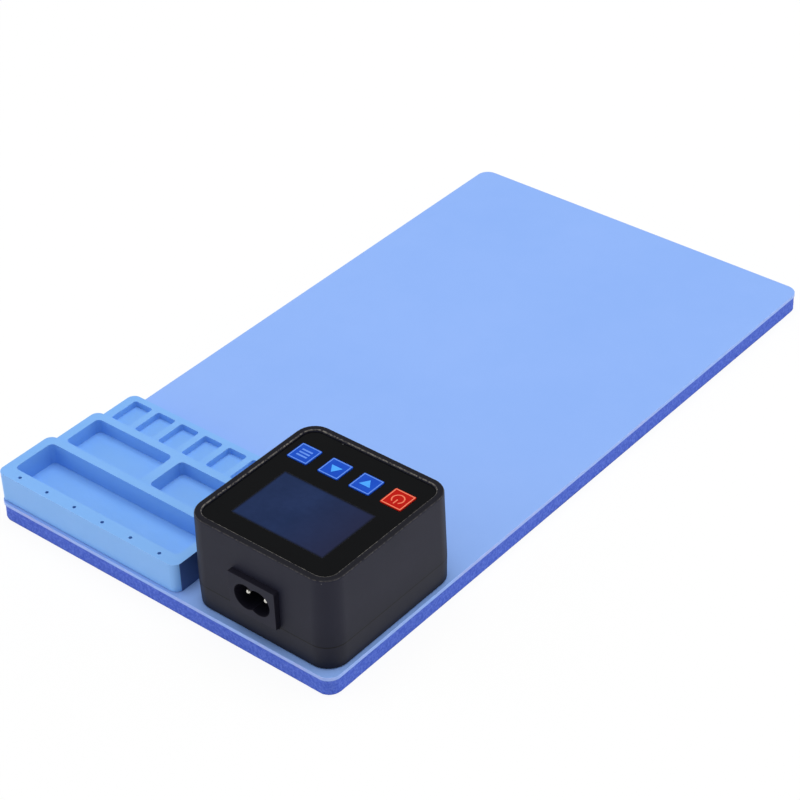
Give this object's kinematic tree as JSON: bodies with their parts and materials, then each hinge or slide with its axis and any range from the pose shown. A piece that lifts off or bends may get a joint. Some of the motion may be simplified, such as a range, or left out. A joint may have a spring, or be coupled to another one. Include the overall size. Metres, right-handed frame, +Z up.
{
  "type": "heated work mat",
  "caption": "Silicone heating mat on a foam base with a stepped parts tray and a keypad control box with display and two-pin mains inlet.",
  "frame": {"origin": "centre of the mat's underside", "axes": "+Z up, +Y towards the back edge with the tray and the control box, +X to the user's right"},
  "size_m": [0.171, 0.31, 0.0509],
  "materials": {
    "foam": "matte",
    "silicone_sheet": "matte",
    "silicone_tray": "satin",
    "adhesive": "matte",
    "foil": "satin",
    "box_plastic": "satin",
    "panel_plastic": "gloss",
    "window": "gloss",
    "lcd_glass": "gloss",
    "white_plastic": "satin",
    "black_plastic": "satin",
    "blue_key": "gloss",
    "red_key": "gloss",
    "circuit_board": "satin",
    "power_circuit_board": "satin",
    "steel": "satin",
    "nickel": "polished",
    "red_insulation": "satin",
    "brown_insulation": "satin",
    "ribbon": "satin",
    "transformer": "satin",
    "relay_blue": "satin",
    "fuse_glass": "clear"
  },
  "bodies": {
    "mat": {"foam_base": "foam", "lower_sheet": "silicone_sheet", "heating_foil": "foil", "top_sheet": "silicone_sheet", "temperature_sensor": "black_plastic", "heater_leads": "red_insulation", "tray_adhesive": "adhesive", "parts_tray": "silicone_tray", "box_adhesive": "adhesive", "lower_shell": "box_plastic", "upper_shell": "box_plastic", "shell_screws": "steel", "front_panel": "panel_plastic", "display_window": "window", "lcd_cell": "lcd_glass", "lcd_frame": "white_plastic", "display_board": "circuit_board", "display_board_screws": "steel", "tact_switches": "black_plastic", "inlet_housing": "box_plastic", "inlet_pins": "nickel", "inlet_wires": "brown_insulation", "power_board": "power_circuit_board", "power_board_screws": "steel", "transformer": "transformer", "relay": "relay_blue", "capacitor": "black_plastic", "fuse": "fuse_glass", "fuse_clips": "nickel", "thermal_cutout": "white_plastic", "ribbon_cable": "ribbon"},
    "mode_button": {"mode_key": "blue_key", "mode_plunger": "black_plastic"},
    "down_button": {"down_key": "blue_key", "down_plunger": "black_plastic"},
    "up_button": {"up_key": "blue_key", "up_plunger": "black_plastic"},
    "power_button": {"power_key": "red_key", "power_plunger": "black_plastic"}
  },
  "joints": [
    {"name": "mode_press", "type": "slide", "parent": "mat", "child": "mode_button", "axis": [0, 0, -1], "range_m": [0, 0.0002], "stiffness_N_per_m": 2000, "springref_m": -0.0001},
    {"name": "down_press", "type": "slide", "parent": "mat", "child": "down_button", "axis": [0, 0, -1], "range_m": [0, 0.0002], "stiffness_N_per_m": 2000, "springref_m": -0.0001},
    {"name": "up_press", "type": "slide", "parent": "mat", "child": "up_button", "axis": [0, 0, -1], "range_m": [0, 0.0002], "stiffness_N_per_m": 2000, "springref_m": -0.0001},
    {"name": "power_press", "type": "slide", "parent": "mat", "child": "power_button", "axis": [0, 0, -1], "range_m": [0, 0.0002], "stiffness_N_per_m": 2000, "springref_m": -0.0001}
  ]
}
